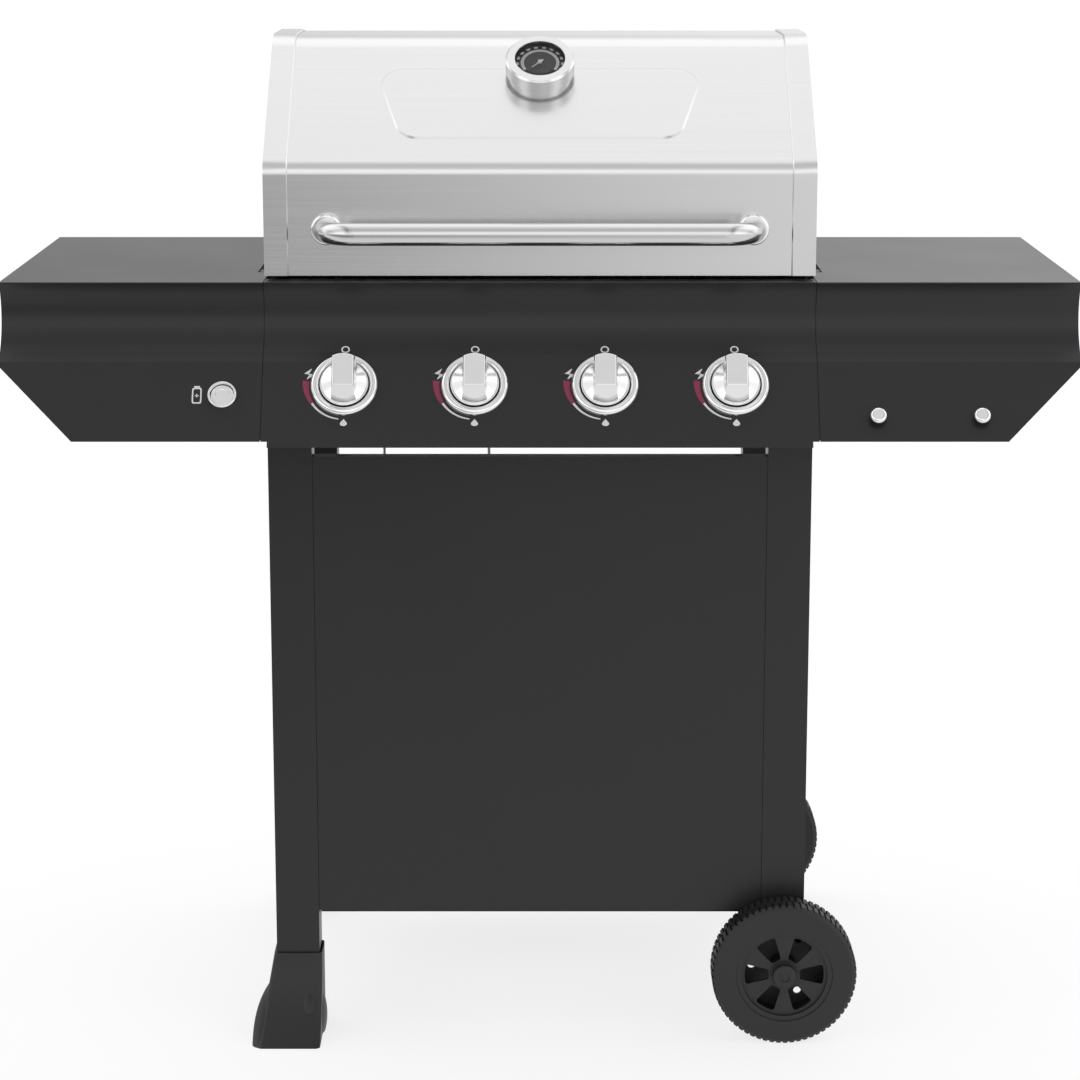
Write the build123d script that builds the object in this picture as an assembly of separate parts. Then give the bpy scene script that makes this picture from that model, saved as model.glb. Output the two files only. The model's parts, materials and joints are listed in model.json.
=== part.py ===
from build123d import *
import os
from math import cos, pi, radians, sin, sqrt, tan

# A gas barbecue grill on a cart, in millimetres. Depths run back from the top front edge of the
# control panel, heights run up from the ground, and widths run from the middle.

# Overall form
overall_width = 1200.0
body_width = 614.0
shelf_height = 890.0
shelf_depth = 446.0
sheet = 1.5
lap_gap = 0.3
seam = 1.0

# Fascia section, shared by the control panel and the side shelves
scoop_lead = 9.0
scoop_drop = 77.0
scoop_depth = 15.0
brow_lead = 20.0
brow_drop = 86.0
facet_lean = 34.0
panel_reach = 78.0
fascia_reach = 74.0
fascia_back = 30.0
foot_flange = 22.0
foot_relief = 7.0
seam_lap = 8.0
fascia_end_drop = 90.0
fascia_end_cut = 86.0

# Side shelves
shelf_edge = 30.0
shelf_notch_depth = 92.0
shelf_lid_gap = 14.0
bracket_width = 18.0
bracket_height = 26.0
bracket_stations = (120.0, 380.0)
bracket_root = 40.0
bracket_end_gap = 45.0

# Knobs, bezels and gas valves, placed along the facet and out of it
knob_spacing = 144.0
knob_count = 4
knob_drop = 29.0
knob_diameter = 50.0
knob_seat = 5.0
knob_skirt = 4.0
knob_shoulder = 6.0
knob_crown = 26.0
knob_flange = 53.6
knob_flange_height = 2.0
knob_height = 34.0
grip_width = 24.0
grip_draft = 2.5
grip_nose = 11.0
grip_round = 2.0
push_travel = 4.0
stem_diameter = 8.0
stem_depth = 22.0
running_clearance = 0.06
collar_diameter = 15.0
collar_length = 6.0
collar_depth = 14.0
bezel_diameter = 75.0
bezel_width = 10.0
bezel_height = 8.0
valve_diameter = 22.0
valve_depth = 20.0
valve_length = 32.0
spud_diameter = 8.0
spud_reach = 8.0
manifold_diameter = 19.0
manifold_margin = 36.0
manifold_tab = 14.0
inlet_diameter = 16.0
inlet_offset = 36.0
inlet_drop = 40.0
inlet_grip = 15.0

# Igniter and tool hooks
igniter_offset = 43.0
igniter_drop = 42.5
igniter_bezel_diameter = 32.0
igniter_bezel_height = 8.0
igniter_diameter = 26.0
igniter_face = 4.0
igniter_cap = 5.0
igniter_dish = 16.0
igniter_body_length = 48.0
igniter_travel = 4.0
hook_offsets = (64.5, 178.5)
hook_drop = 68.5
hook_head = 19.0
hook_head_height = 5.0
hook_neck = 10.0
hook_height = 12.0

# Lid
lid_front = 20.0
lid_gap = 5.0
lid_front_rise = 121.0
lid_slope = 39.0
lid_rise = 256.0
lid_crest = 330.0
lid_rear = 488.0
lid_shoulder_drop = 99.0
lid_rear_drop = 191.0
lid_front_bend = 8.0
lid_brow_bend = 58.0
lid_crest_bend = 60.0
lid_shoulder_bend = 30.0
rim_width = 27.0
rim_proud = 2.0
rim_bevel = 1.2
cap_plate = 2.5
emboss_start = 46.0
emboss_length = 111.0
emboss_low_width = 310.0
emboss_high_width = 374.0
emboss_round = 26.0
emboss_height = 1.5
hinge_depth = 450.0
hinge_rise = 25.0
hinge_pin_diameter = 8.0
hinge_ear = 15.0
pin_head = 14.0
pin_head_depth = 2.5

# Lid handle
handle_diameter = 25.0
handle_wall = 1.5
handle_span = 474.0
handle_rise = 52.0
handle_standoff = 55.0
handle_bend = 34.0
boss_diameter = 35.0
boss_depth = 9.0

# Thermometer, standing square on the lid's slope
gauge_station = 148.0
gauge_diameter = 78.0
gauge_height = 26.0
gauge_foot_diameter = 72.0
gauge_foot_height = 9.0
gauge_cavity = 60.0
gauge_window = 57.0
gauge_lip = 2.0
lens_thickness = 2.0
dial_thickness = 1.0
dial_depth = 6.5
needle_length = 13.0
needle_tail = 5.0
needle_width = 2.2
needle_thickness = 0.8
needle_lift = 1.2
needle_hub = 5.0
needle_pin = 3.0
needle_angle = 225.0
gauge_stem_diameter = 9.0
gauge_stem_reach = 14.0

# Firebox
firebox_front = 32.0
firebox_depth = 444.0
firebox_inset = 7.0
firebox_wall = 2.0
firebox_rim_drop = 1.0
front_wall_drop = 155.0
rear_wall_rise = 65.0
floor_rim_drop = 140.0
floor_mouth_drop = 170.0
mouth_width = 470.0
mouth_depth = 300.0
end_foot_drop = 184.0
ledge_depth = 14.0
ledge_thickness = 2.0
tamer_ledge_drop = 95.0
grate_ledge_drop = 32.0

# Burners and flame tamers
burner_drop = 127.0
burner_diameter = 25.0
burner_wall = 1.2
bell_diameter = 31.0
bell_length = 5.0
burner_end_gap = 21.0
burner_pin = 6.0
electrode_offset = 22.0
electrode_drop = 112.0
electrode_diameter = 7.0
electrode_reach = 40.0
electrode_tip = 2.4
tamer_width = 110.0
tamer_rise = 35.0

# Cooking grates and warming rack
grate_count = 3
grate_gap = 3.0
grate_end_gap = 15.0
grate_bar = 8.0
grate_rod = 7.0
grate_rods = 10
grate_side_gap = 8.0
weld_sink = 1.0
rack_rise = 124.0
rack_front = 345.0
rack_rear = 440.0
rack_wire = 6.0
rack_rod = 4.0
rack_rods = 13
rack_ledge_margin = 14.0

# Grease tray, cup and hanger
tray_front = 80.0
tray_length = 390.0
tray_depth = 8.0
tray_rim = 10.0
tray_drop = 190.0
tray_side_gap = 2.0
tray_pull = 16.0
runner_lip = 10.0
cup_x = -126.0
cup_station = 300.0
drain_diameter = 20.0
cup_diameter = 116.0
cup_foot_diameter = 92.0
cup_height = 52.0
cup_rim = 3.2
cup_drop = 270.0
hanger_wire = 3.7
hanger_gap = 0.3

# Cart
leg_width = 50.0
leg_depth = 40.0
leg_stand_out = 1.5
cart_front = 35.0
cart_depth = 470.0
leg_top_gap = 0.4
wheel_leg_foot = 62.0
foot_leg_foot = 20.0
panel_top_drop = 203.0
panel_foot = 148.0
panel_inset = 1.0
panel_flange = 18.0
rail_height = 26.0
rail_width = 20.0
rail_foot = 122.0
bottle_hole = 204.0
bottom_shelf_lip = 16.0
foot_height = 96.0
foot_wall = 3.0
foot_toe = 62.0
foot_flare = 20.2
foot_heel = 4.0
foot_round = 6.0
toe_lobe_radius = 12.0
toe_lobe_setback = 1.5
toe_lobe_swell = ((0.0, 6.2), (0.2, 9.0), (0.42, 7.0), (0.62, -1.0))
lobe_reach = 19.0
lobe_depth = 36.0
lobe_height = 58.0
lobe_middle = 18.0
inner_lobe_bulge = 4.5

# Wheels and axle
wheel_radius = 84.0
wheel_width = 42.0
wheel_gap = 5.0
axle_diameter = 10.0
axle_hole_clearance = 0.3
cap_diameter = 28.0
cap_depth = 6.0
cap_dish = 12.0
lug_count = 66
lug_depth = 2.0
lug_share = 0.62
tread_groove = 3.0
rim_radius = 56.0
rim_wall = 6.0
tyre_fit = 0.15
tyre_shoulder = 5.0
spoke_windows = 6
window_inner = 19.0
window_outer = 46.0
window_inner_angle = 36.0
window_outer_angle = 31.0
web_hole_diameter = 9.0
web_hole_radius = 36.0
web_holes = 3
hub_radius = 16.0
hub_web = 4.0
hub_recess = 5.0

# Derived places
half_width = overall_width / 2
body_half = body_width / 2
brow_height = shelf_height - brow_drop
lean = radians(facet_lean)
slope = radians(lid_slope)
hinge_height = shelf_height + hinge_rise
rear_wall_top = shelf_height + rear_wall_rise
front_wall_foot = shelf_height - front_wall_drop
floor_rim = shelf_height - floor_rim_drop
floor_mouth = shelf_height - floor_mouth_drop
end_foot = shelf_height - end_foot_drop
tamer_ledge_height = shelf_height - tamer_ledge_drop
grate_ledge_height = shelf_height - grate_ledge_drop
burner_height = shelf_height - burner_drop
electrode_height = shelf_height - electrode_drop
tray_lift = shelf_height - tray_drop
cup_top = shelf_height - cup_drop
panel_top = shelf_height - panel_top_drop
fascia_end_height = shelf_height - fascia_end_drop
lid_base = shelf_height + lid_gap
lid_bend = lid_base + lid_front_rise
lid_top = lid_base + lid_rise
handle_height = lid_base + handle_rise
igniter_x = -body_half - igniter_offset
hook_stations = [body_half + offset for offset in hook_offsets]
firebox_half = body_half - firebox_inset
firebox_rear = firebox_front + firebox_depth
firebox_rim = shelf_height - firebox_rim_drop
leg_outer = body_half + leg_stand_out
leg_inner = leg_outer - leg_width
leg_middle = leg_outer - leg_width / 2
cart_rear = cart_front + cart_depth
leg_top = end_foot - firebox_wall - leg_top_gap
wheel_front = cart_front - wheel_gap - wheel_width
wheel_rear = cart_rear + wheel_gap + wheel_width
grate_half = firebox_half - firebox_wall - grate_end_gap
knob_stations = [knob_spacing * (n - (knob_count - 1) / 2) for n in range(knob_count)]
runner_half = mouth_width / 2 + sheet
shelf_seam = body_half + seam / 2
middle_shift = Pos(0, (panel_reach - cart_rear - foot_toe) / 2, 0)

pieces = {}


def keep(name, shape):
    """Store a finished piece under its name, moved so that the origin is under the box's middle."""
    pieces[name] = middle_shift * shape


def block(x_low, x_high, y_low, y_high, z_low, z_high):
    """Box between two corners."""
    centre = Pos((x_low + x_high) / 2, (y_low + y_high) / 2, (z_low + z_high) / 2)
    return centre * Box(x_high - x_low, y_high - y_low, z_high - z_low)


def across(face, x_low, x_high):
    """Extrude a section drawn in (depth, height) from x_low to x_high."""
    return extrude(Plane.YZ.offset(x_low) * face, amount=x_high - x_low, dir=(1, 0, 0))


def rod(start, end, diameter):
    """Round bar from one point to another."""
    run = Vector(*end) - Vector(*start)
    return Solid.make_cylinder(diameter / 2, run.length, Plane(Vector(*start), z_dir=run))


def disc(diameter, low, high):
    """Round plate about the local z axis, from low to high."""
    return Pos(0, 0, (low + high) / 2) * Cylinder(diameter / 2, high - low)


def facet_plane(x, drop):
    """Plane on the facet: x across, y up the facet and z out of it, a given drop below the brow."""
    origin = (x, -brow_lead - drop * sin(lean), brow_height - drop * cos(lean))
    return Plane(origin, x_dir=(1, 0, 0), z_dir=(0, -cos(lean), sin(lean)))


def slope_plane(station):
    """Plane on the lid's slope: x across, y up the slope and z out of it."""
    origin = (0, lid_front + station * cos(slope), lid_bend + station * sin(slope))
    return Plane(origin, x_dir=(1, 0, 0), z_dir=(0, -sin(slope), cos(slope)))


def fascia_foot(reach):
    """Height at which the facet ends when its foot reaches this far forward."""
    return brow_height - (reach - brow_lead) / tan(lean)


def fascia_face(reach, back, crown):
    """Fascia section in (depth, height): flat crown, hollow scoop, brow and leaning facet."""
    scoop_end = (-scoop_lead, shelf_height - scoop_drop)
    brow = (-brow_lead, brow_height)
    foot = (-reach, fascia_foot(reach))
    outline = Line((back, crown), (0, crown))
    outline += SagittaArc((0, crown), scoop_end, scoop_depth)
    outline += Polyline(scoop_end, brow, foot, (back, foot[1]), (back, crown))
    return make_face(outline)


def fascia_core(reach, back, crown):
    """Space inside the folded fascia, running out through its open back."""
    return offset(fascia_face(reach, back + 4 * sheet, crown), amount=-sheet)


def foot_opening(reach, x_low, x_high):
    """Opening between the fascia's foot flange and its back."""
    low = fascia_foot(reach)
    return block(x_low, x_high, foot_flange - reach, firebox_front, low - sheet, low + 2 * sheet)


def control_panel():
    """Folded panel with a round hole on the facet for each knob stem and a relieved foot at its ends."""
    half = body_half - seam / 2
    back = firebox_front - lap_gap
    panel = across(fascia_face(panel_reach, back, shelf_height), -half, half)
    panel -= across(fascia_core(panel_reach, back, shelf_height), -half - sheet, half + sheet)
    panel -= foot_opening(panel_reach, -half - sheet, half + sheet)
    for x in knob_stations:
        panel -= facet_plane(x, knob_drop) * disc(collar_diameter + 2 * seam, -4 * sheet, sheet)
    low = fascia_foot(panel_reach) - sheet
    high = fascia_foot(fascia_reach)
    for start, end in ((-half - sheet, foot_relief - half), (half - foot_relief, half + sheet)):
        panel -= block(start, end, -panel_reach - sheet, firebox_front, low, high)
    return panel


def end_cut_face(inset):
    """Cut-away lower corner of the fascia's outer end, in (width, height)."""
    outer = half_width - inset
    foot = fascia_foot(fascia_reach) + inset
    slant = Polyline(
        (outer, fascia_end_height),
        (outer + overall_width, fascia_end_height),
        (outer + overall_width, foot - fascia_end_height),
        (outer - fascia_end_cut * 2, foot - (fascia_end_height - foot)),
        close=True,
    )
    return make_face(slant)


def shelf_fascia():
    """Fascia of the right shelf: a closed outer end, cut away below, and a tongue lapped into the panel."""
    crown = shelf_height - sheet - lap_gap
    cut_depth = 4 * (fascia_back + panel_reach)
    shells = []
    for face, inset in ((fascia_face, 0.0), (fascia_core, sheet)):
        body = across(face(fascia_reach, fascia_back, crown), shelf_seam - inset, half_width - inset)
        corner = extrude(Plane.XZ * end_cut_face(inset), amount=cut_depth, both=True)
        shells.append(body - corner)
    opening_end = half_width - fascia_end_cut - foot_flange
    fascia = shells[0] - shells[1]
    fascia += across(fascia_face(fascia_reach, fascia_back, crown), shelf_seam, shelf_seam + seam_lap)
    depth = sheet + lap_gap
    tongue = offset(fascia_face(fascia_reach, fascia_back + depth, shelf_height), amount=-depth)
    fascia += across(tongue, shelf_seam - seam_lap, shelf_seam)
    inside = fascia_face(fascia_reach, fascia_back + 2 * (depth + sheet), shelf_height)
    core = offset(inside, amount=-depth - sheet)
    fascia -= across(core, shelf_seam - seam_lap - sheet, shelf_seam + seam_lap)
    return fascia - foot_opening(fascia_reach, shelf_seam - seam_lap - sheet, opening_end)


def shelf_top():
    """Right shelf: flat sheet, notched beside the lid, with turned-down edges slotted over the brackets."""
    inner = body_half + shelf_lid_gap
    low = shelf_height - shelf_edge
    top = block(inner, half_width, 0, shelf_depth, low, shelf_height)
    top += block(shelf_seam, inner, 0, shelf_notch_depth, shelf_height - sheet, shelf_height)
    under = shelf_height - sheet
    top -= block(inner + sheet, half_width - sheet, -sheet, shelf_depth - sheet, low - sheet, under)
    edge_clear = fascia_back + lap_gap
    top -= block(inner - sheet, half_width + sheet, -sheet, edge_clear, low - sheet, under)
    slot = bracket_width / 2 + lap_gap
    for station in bracket_stations:
        top -= block(inner - sheet, inner + 2 * sheet, station - slot, station + slot, low - sheet, under)
    return top


def shelf_bracket(station):
    """Folded channel that carries the right shelf from the side of the firebox."""
    top = shelf_height - sheet - lap_gap
    low = top - bracket_height
    start = firebox_half + lap_gap
    end = half_width - bracket_end_gap
    front = station - bracket_width / 2
    rear = station + bracket_width / 2
    arm = block(start, end, front, rear, low, top)
    arm -= block(start + sheet, end + sheet, front + sheet, rear - sheet, low - sheet, top - sheet)
    tip = end + sheet
    below = low - sheet
    slant = Polyline((tip, below), (tip, top - sheet), (start + bracket_root, below), close=True)
    return arm - extrude(Plane.XZ * make_face(slant), amount=2 * overall_width, both=True)


def control_knob(x):
    """Flanged skirt with a sloping shoulder, a drafted bar grip with a nose, and the stem into the valve."""
    top = knob_height
    half = grip_width / 2
    foot = half + grip_draft
    skirt = disc(knob_diameter, knob_seat, knob_seat + knob_skirt)
    skirt += disc(knob_flange, knob_seat, knob_seat + knob_flange_height)
    shoulder = Cone(knob_diameter / 2, knob_crown / 2, knob_shoulder)
    skirt += Pos(0, 0, knob_seat + knob_skirt + knob_shoulder / 2) * shoulder
    section = Polyline((-foot, knob_seat), (foot, knob_seat), (half, top), (-half, top), close=True)
    prism = extrude(Plane.XZ * make_face(section), amount=knob_diameter, both=True)
    bar = disc(knob_diameter, knob_seat, top) & prism
    nose = Box(2 * knob_diameter, grip_nose * sqrt(2), grip_nose * sqrt(2))
    bar -= Pos(0, -knob_diameter / 2, top) * Rot(45, 0, 0) * nose
    crest = bar.edges().filter_by(lambda edge: edge.center().Z > top - lap_gap)
    knob = skirt + fillet(crest, grip_round)
    stem = disc(stem_diameter, -stem_depth, knob_seat + knob_skirt / 2)
    return facet_plane(x, knob_drop) * (knob + stem)


def valve_collar(x):
    """Collar on the valve stem that slides in with the knob."""
    collar = disc(collar_diameter, -collar_depth, collar_length - collar_depth)
    collar -= disc(stem_diameter + 2 * running_clearance, -2 * collar_depth, collar_depth)
    return facet_plane(x, knob_drop) * collar


def knob_bezel(x):
    """Rounded ring that frames a knob."""
    outer = bezel_diameter / 2
    inner = outer - bezel_width
    profile = Polyline((inner, 0), (outer, 0), (outer, bezel_height / 3))
    profile += ThreePointArc(
        (outer, bezel_height / 3),
        ((inner + outer) / 2, bezel_height),
        (inner, bezel_height / 3),
    )
    profile += Line((inner, bezel_height / 3), (inner, 0))
    ring = revolve(Plane.XZ * make_face(profile), Axis.Z)
    return facet_plane(x, knob_drop) * ring


def gas_valve(x):
    """Valve body in line with the knob stem, with the spud that feeds its burner."""
    deep = valve_depth + valve_length
    body = disc(valve_diameter, -deep, -valve_depth)
    collar_low = -valve_depth - valve_length / 2
    body += disc(valve_diameter + 4 * sheet, collar_low, collar_low + valve_length / 4)
    bore_end = stem_depth + push_travel + lap_gap
    body -= disc(stem_diameter + 2 * running_clearance, -bore_end, 0)
    plane = facet_plane(x, knob_drop)
    depth = (plane.origin.Z - burner_height) / sin(lean)
    start = plane.origin.Y + depth * cos(lean)
    end = burner_front() + spud_reach
    return plane * body + rod((x, start, burner_height), (x, end, burner_height), spud_diameter)


def burner_front():
    """Depth of the burner's bell mouth, just ahead of the firebox."""
    return firebox_front - bell_length


def gas_manifold():
    """Pipe behind the valves, tabbed to the firebox, with the gas inlet turned down near its right end."""
    centre = facet_plane(0, knob_drop).origin
    behind = valve_depth + valve_length + manifold_diameter / 2
    y = centre.Y + behind * cos(lean)
    z = centre.Z - behind * sin(lean)
    left = knob_stations[0] - manifold_margin
    right = knob_stations[-1] + manifold_margin
    pipe = rod((left, y, z), (right, y, z), manifold_diameter)
    inlet = knob_stations[-1] - inlet_offset
    pipe += rod((inlet, y, z), (inlet, y, z - inlet_drop), inlet_diameter)
    pipe += rod((inlet, y, z), (inlet, y, z - inlet_drop + inlet_grip), inlet_diameter + 4 * sheet)
    for x in knob_stations[:-1]:
        middle = x + knob_spacing / 2
        half = manifold_tab / 2
        pipe += block(middle - half, middle + half, y, firebox_front, z - half / 2, z + half / 2)
    return pipe


def igniter_module():
    """Igniter body behind the left fascia, with the ring that clamps it and guards its button."""
    well = igniter_diameter + 2 * lap_gap
    floor = igniter_face - igniter_cap - igniter_travel - lap_gap
    ring = disc(igniter_bezel_diameter, 0, igniter_bezel_height)
    body = fillet(ring.edges().group_by(Axis.Z)[-1], sheet)
    body += disc(igniter_bezel_diameter - 2 * sheet, -igniter_body_length, 0)
    body -= disc(well - 4 * sheet, -igniter_body_length / 2, floor)
    body -= disc(well, floor, igniter_bezel_height + sheet)
    return facet_plane(igniter_x, igniter_drop) * body


def igniter_button():
    """Push button with a dished face, sunk in the igniter's ring."""
    low = igniter_face - igniter_cap
    cap = disc(igniter_diameter, low, igniter_face)
    button = fillet(cap.edges().group_by(Axis.Z)[-1], sheet)
    button += disc(igniter_diameter - 4 * sheet, low - igniter_body_length / 4, low)
    button -= disc(igniter_dish, igniter_face - sheet, igniter_face + sheet)
    return facet_plane(igniter_x, igniter_drop) * button


def tool_hook(x):
    """Short peg with a domed head for hanging tools."""
    neck = disc(hook_neck, 0, hook_height - hook_head_height / 2)
    head = disc(hook_head, hook_height - hook_head_height, hook_height)
    head = fillet(head.edges().group_by(Axis.Z)[-1], hook_head_height - seam)
    return facet_plane(x, hook_drop) * (neck + head)


def lid_outline():
    """Outer line of the folded lid panel in (depth, height)."""
    brow = lid_front + (lid_top - lid_bend) / tan(slope)
    return FilletPolyline(
        (lid_front, lid_base),
        (lid_front, lid_bend),
        (brow, lid_top),
        (lid_crest, lid_top),
        (lid_rear, lid_top - lid_shoulder_drop),
        (lid_rear, lid_top - lid_rear_drop),
        radius=[lid_front_bend, lid_brow_bend, lid_crest_bend, lid_shoulder_bend],
    )


def lid_line(away):
    """Line parallel to the lid's outer line; a positive distance lies outside the lid."""
    line = lid_outline()
    if away == 0:
        return line
    side = Side.LEFT if away > 0 else Side.RIGHT
    return offset(line, amount=abs(away), side=side, closed=False)


def lid_band(inner, outer):
    """Face between two lines parallel to the lid's outer line."""
    low = lid_line(inner)
    high = lid_line(outer)
    ends = [Line(low @ 0, high @ 0), Line(low @ 1, high @ 1)]
    return make_face(low.edges() + high.edges() + ends)


def lid_panel():
    """Folded sheet from the front edge over the slope and crest to the rear, with its pressed field."""
    half = body_half - cap_plate - lap_gap
    panel = across(lid_band(-sheet, 0), -half, half)
    plane = slope_plane(0)
    start = emboss_start
    end = emboss_start + emboss_length
    field = make_face(
        Polyline(
            (-emboss_low_width / 2, start),
            (emboss_low_width / 2, start),
            (emboss_high_width / 2, end),
            (-emboss_high_width / 2, end),
            close=True,
        )
    )
    field = fillet(field.vertices(), emboss_round)
    panel += plane * extrude(field, amount=emboss_height)
    hole = gauge_stem_diameter + 2 * lap_gap
    panel -= slope_plane(gauge_station) * disc(hole, -4 * sheet, 4 * sheet)
    return panel


def lid_end_cap():
    """Right end of the lid: a plate that closes the profile and a rim strip lapped over the panel."""
    lap = rim_proud / 10
    outer = lid_line(rim_proud)
    strip = across(lid_band(lap, rim_proud), body_half - rim_width, body_half)
    inner_end = strip.edges().group_by(Axis.X)[0]
    crest = across(lid_band(rim_proud - lap, rim_proud + lap), 0, body_half)
    cap = chamfer([edge for edge in inner_end if crest.is_inside(edge @ 0.5)], rim_bevel)
    closing = Polyline(outer @ 1, (lid_rear + rim_proud, lid_base), outer @ 0)
    plate = make_face(outer.edges() + closing.edges())
    cap += across(plate, body_half - cap_plate, body_half)
    hole = hinge_pin_diameter + 2 * running_clearance
    start = (body_half - 2 * cap_plate, hinge_depth, hinge_height)
    end = (body_half + cap_plate, hinge_depth, hinge_height)
    return cap - rod(start, end, hole)


def hinge_pin():
    """Headed pin through the right lid end and the firebox ear."""
    inner = firebox_half - firebox_wall - lap_gap
    outer = body_half + lap_gap
    middle = (hinge_depth, hinge_height)
    pin = rod((inner, *middle), (outer, *middle), hinge_pin_diameter)
    pin += rod((outer, *middle), (outer + pin_head_depth, *middle), pin_head)
    return pin + rod((inner - pin_head_depth, *middle), (inner, *middle), pin_head)


def lid_handle():
    """Bent tube that stands off the lid on its two bosses."""
    root = lid_front - boss_depth
    bar = lid_front - handle_standoff
    half = handle_span / 2
    path = FilletPolyline(
        (-half, root, handle_height),
        (-half, bar, handle_height),
        (half, bar, handle_height),
        (half, root, handle_height),
        radius=handle_bend,
    )
    start = Plane(path @ 0, z_dir=path % 0)
    ring = Circle(handle_diameter / 2) - Circle(handle_diameter / 2 - handle_wall)
    return sweep(start * ring, path=path)


def handle_boss(x):
    """Round foot between the handle and the lid, with a spigot inside the tube."""
    lid_face = (x, lid_front, handle_height)
    root = (x, lid_front - boss_depth, handle_height)
    boss = rod(lid_face, root, boss_diameter)
    boss = fillet(boss.edges().group_by(Axis.Y)[0], 2 * sheet)
    spigot = handle_diameter - 2 * handle_wall - 2 * lap_gap
    return boss + rod(root, (x, root[1] - boss_depth, handle_height), spigot)


def gauge_bezel():
    """Turned housing of the thermometer: foot ring, wide bezel with a lip, and the threaded stem."""
    wide = gauge_diameter / 2
    foot = gauge_foot_diameter / 2
    top = gauge_height
    bevel = gauge_lip
    cavity = gauge_cavity / 2
    stem = gauge_stem_diameter / 2
    seat = emboss_height
    profile = Polyline(
        (0, -gauge_stem_reach),
        (stem, -gauge_stem_reach),
        (stem, seat),
        (foot, seat),
        (foot, gauge_foot_height),
        (wide, gauge_foot_height),
        (wide, top - bevel),
        (wide - bevel, top),
        (gauge_window / 2, top),
        (gauge_window / 2, top - gauge_lip),
        (cavity, top - gauge_lip),
        (cavity, top - gauge_lip - dial_depth),
        (needle_pin / 2 + running_clearance, top - gauge_lip - dial_depth),
        (needle_pin / 2 + running_clearance, gauge_foot_height),
        (0, gauge_foot_height),
        close=True,
    )
    housing = revolve(Plane.XZ * make_face(profile), Axis.Z)
    return slope_plane(gauge_station) * housing


def gauge_dial():
    """Round dial plate on the floor of the gauge, with a hole for the needle's pin."""
    low = gauge_height - gauge_lip - dial_depth
    dial = disc(gauge_cavity - 2 * lap_gap, low, low + dial_thickness)
    dial -= disc(needle_pin + 2 * running_clearance, 0, gauge_height)
    return slope_plane(gauge_station) * dial


def gauge_lens():
    """Glass held under the bezel's lip."""
    top = gauge_height - gauge_lip
    return slope_plane(gauge_station) * disc(gauge_cavity - 2 * lap_gap, top - lens_thickness, top)


def gauge_needle():
    """Tapered pointer on a hub, with a pin that turns in the dial."""
    dial_top = gauge_height - gauge_lip - dial_depth + dial_thickness
    low = dial_top + needle_lift
    blade = make_face(
        Polyline(
            (-needle_tail, -needle_width / 2),
            (needle_length, -needle_width / 6),
            (needle_length, needle_width / 6),
            (-needle_tail, needle_width / 2),
            close=True,
        )
    )
    needle = Pos(0, 0, low) * extrude(blade, amount=needle_thickness)
    needle += disc(needle_hub, dial_top + lap_gap, low + 2 * needle_thickness)
    needle += disc(needle_pin, gauge_foot_height + lap_gap, low)
    return slope_plane(gauge_station) * (Rot(0, 0, needle_angle) * needle)


def ledge(y_wall, inward, height):
    """Shelf strip welded along a firebox wall, reaching inward from it."""
    half = firebox_half - firebox_wall - lap_gap
    low, high = sorted((y_wall, y_wall + inward * ledge_depth))
    return block(-half, half, low, high, height - ledge_thickness, height)


def firebox_front_wall():
    """Front sheet of the firebox with two ledges, burner holes and electrode holes."""
    half = firebox_half - firebox_wall - lap_gap
    inside = firebox_front + firebox_wall
    wall = block(-half, half, firebox_front, inside, front_wall_foot, firebox_rim)
    wall += ledge(inside, 1, tamer_ledge_height)
    wall += ledge(inside, 1, grate_ledge_height)
    for x in knob_stations:
        tube = rod((x, 0, burner_height), (x, 2 * inside, burner_height), burner_diameter + 2 * lap_gap)
        spark_x = x + electrode_offset
        spark = (spark_x, 0, electrode_height), (spark_x, 2 * inside, electrode_height)
        wall -= tube + rod(*spark, electrode_diameter + 2 * lap_gap)
    return wall


def firebox_rear_wall():
    """Rear sheet of the firebox, standing up inside the lid, with the same two ledges."""
    half = firebox_half - firebox_wall - lap_gap
    inside = firebox_rear - firebox_wall
    wall = block(-half, half, inside, firebox_rear, floor_rim, rear_wall_top)
    wall += ledge(inside, -1, tamer_ledge_height)
    wall += ledge(inside, -1, grate_ledge_height)
    return wall


def firebox_end():
    """Right end plate with the hinge ear, the warming rack's ledge and feet turned in over the legs."""
    outline = Polyline(
        (firebox_front, end_foot),
        (cart_rear, end_foot),
        (cart_rear, floor_rim),
        (firebox_rear, floor_rim),
        (firebox_rear, firebox_rim),
        (firebox_front, firebox_rim),
        close=True,
    )
    face = make_face(outline)
    ear_foot = firebox_rim - hinge_ear
    ear_rise = hinge_height - ear_foot
    ear = Pos(hinge_depth, ear_foot + ear_rise / 2) * Rectangle(2 * hinge_ear, ear_rise)
    face = face + ear + Pos(hinge_depth, hinge_height) * Circle(hinge_ear)
    face -= Pos(hinge_depth, hinge_height) * Circle(hinge_pin_diameter / 2 + running_clearance)
    inside = firebox_half - firebox_wall
    plate = across(face, inside, firebox_half)
    rack_low = rack_front - rack_ledge_margin
    rack_high = rack_rear + rack_ledge_margin
    rack_seat = grate_half + seam
    top = grate_ledge_height
    plate += block(rack_seat, inside, rack_low, rack_high, top - ledge_thickness, top)
    for front, rear in ((cart_front, cart_front + leg_depth), (cart_rear - leg_depth, cart_rear)):
        plate += block(leg_inner, firebox_half, front, rear, end_foot - firebox_wall, end_foot)
    return plate


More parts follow.
